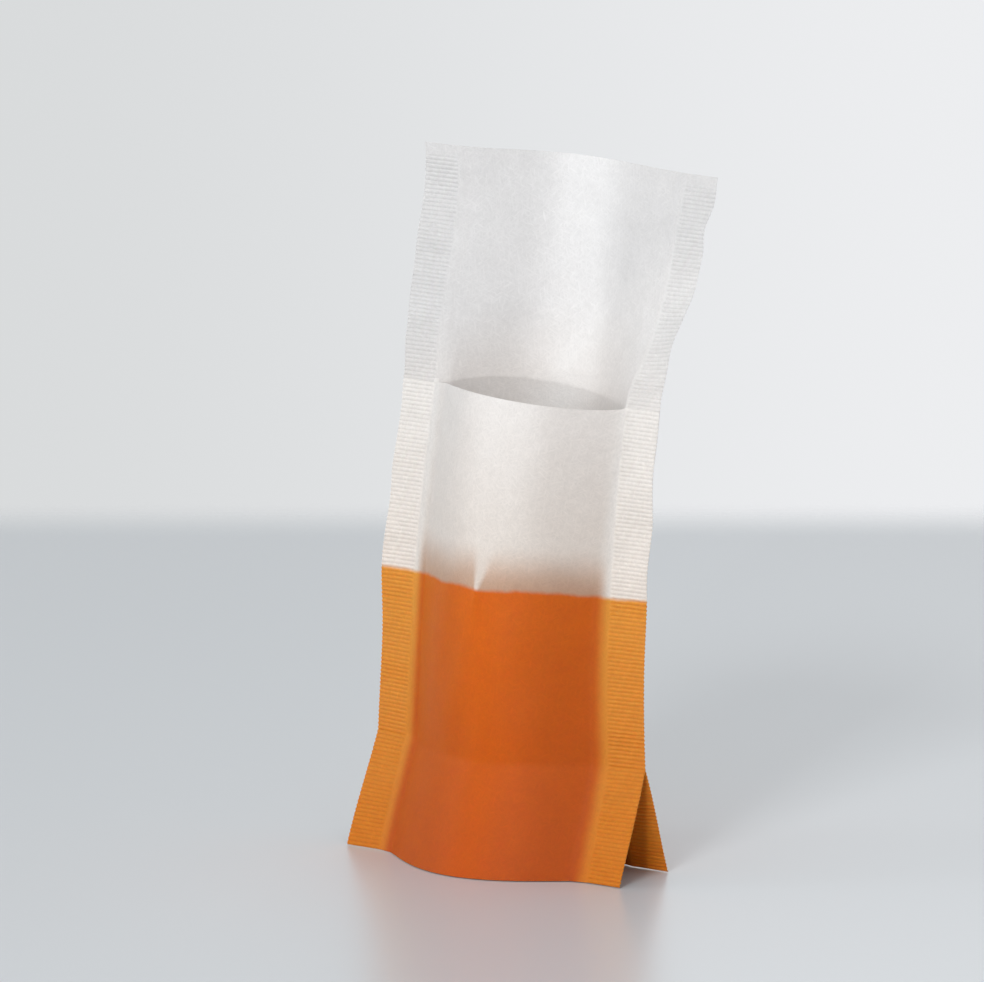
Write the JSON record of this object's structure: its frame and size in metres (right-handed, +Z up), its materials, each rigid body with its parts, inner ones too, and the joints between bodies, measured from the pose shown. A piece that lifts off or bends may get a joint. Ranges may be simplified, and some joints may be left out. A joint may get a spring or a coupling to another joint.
{
  "type": "paper tea filter",
  "caption": "Open filter-paper pouch with a taller back flap, ribbed side seals and an opened base gusset, tea-stained on its lower half; holds loose tea leaves while they brew.",
  "frame": {"origin": "on the floor under the middle of the filter's bounding box", "axes": "+Z up along the standing filter, +X along its width, front panel towards -Y and flap towards +Y"},
  "size_m": [0.0846, 0.0536, 0.165],
  "materials": {
    "filter_paper": "uncoated, matte and fibrous"
  },
  "bodies": {
    "root": {"filter_bag": "filter_paper"}
  },
  "joints": []
}
